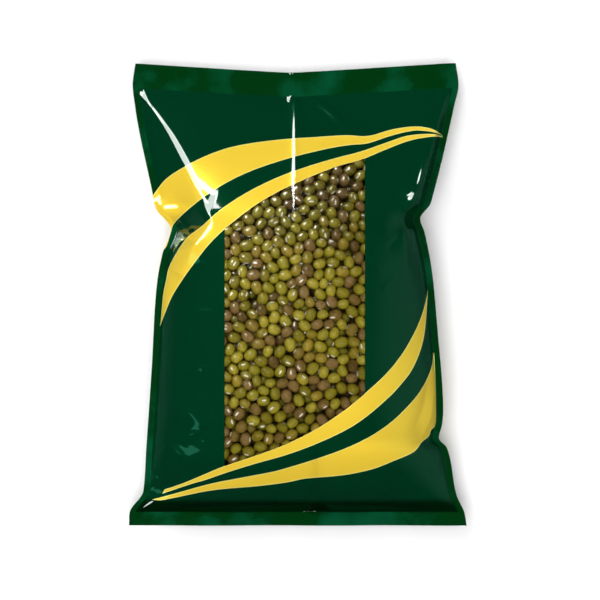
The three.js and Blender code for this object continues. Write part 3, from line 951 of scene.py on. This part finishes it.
bed_share_x, bed_share_y = np.meshgrid(
    np.linspace(0, 1, BED_COLUMNS + 1), np.linspace(0, 1, BED_ROWS + 1)
)
bed_x = lerp(WINDOW_LEFT - BED_MARGIN, WINDOW_RIGHT + BED_MARGIN, bed_share_x)
bed_y = lerp(window_bottom(bed_x) - BED_MARGIN, window_top(bed_x) + BED_MARGIN, bed_share_y)
bed_film = film_at(bed_x.ravel(), bed_y.ravel()).reshape(bed_x.shape)
skewed = bed_y + bed_x * BUMP_SKEW
bumps = np.abs(np.sin(bed_x * math.pi / BUMP_SIZE) * np.sin(skewed * math.pi / BUMP_SIZE))
bed_top = np.stack([bed_x, bed_y, bed_film - BED_TOP + BUMP_HEIGHT * bumps], -1) * MM
bed_bottom = np.stack([bed_x, bed_y, bed_film - BED_BOTTOM], -1) * MM
bed_bm = bmesh.new()
add_panel(bed_bm, bed_top)
bottom_faces = add_panel(bed_bm, bed_bottom)
bmesh.ops.reverse_faces(bed_bm, faces=list(bottom_faces.values()))
bmesh.ops.bridge_loops(bed_bm, edges=[edge for edge in bed_bm.edges if edge.is_boundary])
bmesh.ops.recalc_face_normals(bed_bm, faces=bed_bm.faces)
bed = finish_mesh(bed_bm, "beans_beneath")


def bed_painted_shade():
    material, tree, shader = new_material("beans beneath in painted shade")
    place = node(tree, "ShaderNodeTexCoord").outputs["Object"]
    cells = node(tree, "ShaderNodeTexVoronoi", {"Vector": place, "Scale": 210})
    shade = blend_colour(tree, cells.outputs["Distance"], BED_SHADE_PALE, BED_SHADE_DEEP)
    tree.links.new(shade, shader.inputs["Base Color"])
    shader.inputs["Roughness"].default_value = 0.6
    return material


bed.data.materials.append(bed_painted_shade())
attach(bed, "root")
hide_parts("beans")

# ---- Floor, camera and light ----
# A pale floor under the bag, the camera straight above it, and studio lamps. Two broad lamps
# light the inks and beans and stay out of the gloss, and the others only make its highlights:
# a large one and a strip beyond the bag's top, a small one nearer and a green card at the left.

FLOOR_RADIUS = 3.0
LENS = 180
AIM = Vector((0, 0, 0.02))
PALE = (0.9, 0.9, 0.9, 1)
DARK_STUDIO = (0.004, 0.004, 0.004, 1)
RIGHT_GLOW = (0.1, 0.33, 0.22, 1)  # what the gloss mirrors from the right
TABLE_GLOW = (0.04, 0.12, 0.09, 1)  # and from the table at either side
RIGHT_SPAN = (0.45, 0.95)  # the headings over which each comes in, as shares of a unit vector
TABLE_SPAN = (-0.1, -0.6)
EITHER_SIDE_SPAN = (0.3, 0.6)

floor_bm = bmesh.new()
bmesh.ops.create_circle(floor_bm, cap_ends=True, segments=96, radius=FLOOR_RADIUS)
floor = finish_mesh(floor_bm, "floor")
floor_material, _, floor_shader = new_material("floor")
floor_shader.inputs["Base Color"].default_value = PALE
floor_shader.inputs["Roughness"].default_value = 0.9
floor_shader.inputs["Specular IOR Level"].default_value = 0
floor.data.materials.append(floor_material)
floor.visible_glossy = False

camera_data = bpy.data.cameras.new("camera")
camera_data.lens = LENS
camera_data.sensor_width = 36
camera_data.clip_start = 0.05
camera_data.clip_end = 20
camera = bpy.data.objects.new("camera", camera_data)
camera.location = Vector(SIGHT) * MM
bpy.context.scene.collection.objects.link(camera)
bpy.context.scene.camera = camera


def add_lamp(name, bearing, from_zenith, distance, width, length, radiance, lights, colour=(1, 1, 1)):
    """A soft lamp facing the bag, for its surface or its gloss. bearing runs from +X to +Y."""
    data = bpy.data.lights.new(name, "AREA")
    data.shape = "RECTANGLE"
    data.size = width
    data.size_y = length
    data.color = colour
    data.energy = radiance * math.pi * width * length
    lamp = bpy.data.objects.new(name, data)
    bearing, slope = math.radians(bearing), math.radians(from_zenith)
    level = math.sin(slope)
    away = Vector((math.cos(bearing) * level, math.sin(bearing) * level, math.cos(slope)))
    lamp.location = AIM + away * distance
    lamp.rotation_euler = away.to_track_quat("Z", "Y").to_euler()
    lamp.visible_diffuse = lights == "surface"
    lamp.visible_glossy = lights == "gloss"
    bpy.context.scene.collection.objects.link(lamp)


add_lamp("upper left lamp", 130, 45, 2.0, 1.7, 1.7, 3.4, "surface")
add_lamp("overhead lamp", -90, 12, 2.0, 1.6, 1.6, 6.0, "surface")
add_lamp("key lamp", 131, 68, 1.6, 1.2, 1.16, 16, "gloss")
add_lamp("strip lamp", 106, 61, 1.5, 0.13, 0.95, 22, "gloss")
add_lamp("small lamp", 136, 45, 1.6, 0.42, 0.42, 28, "gloss", (0.9, 1, 0.8))
add_lamp("lower left card", -152, 66, 1.6, 0.55, 0.4, 1.5, "gloss", (0.15, 1, 0.65))

world = bpy.data.worlds.new("studio")
world.use_nodes = True
bpy.context.scene.world = world
sky = world.node_tree
direction = node(sky, "ShaderNodeTexCoord").outputs["Generated"]
heading = node(sky, "ShaderNodeSeparateXYZ", {0: direction})
to_right = step_up(sky, heading.outputs[0], *RIGHT_SPAN)
right_glow = blend_colour(sky, to_right, DARK_STUDIO, RIGHT_GLOW)
low = step_up(sky, heading.outputs[2], *TABLE_SPAN)
either_side = step_up(sky, maths(sky, "ABSOLUTE", heading.outputs[0]), *EITHER_SIDE_SPAN)
on_table = maths(sky, "MULTIPLY", low, either_side)
mirrored = blend_colour(sky, on_table, right_glow, TABLE_GLOW)
path = node(sky, "ShaderNodeLightPath")
glow = blend_colour(sky, path.outputs["Is Glossy Ray"], DARK_STUDIO, mirrored)
backdrop = blend_colour(sky, path.outputs["Is Camera Ray"], glow, PALE)
sky.links.new(backdrop, sky.nodes["Background"].inputs["Color"])
bpy.context.scene.view_settings.view_transform = "Standard"
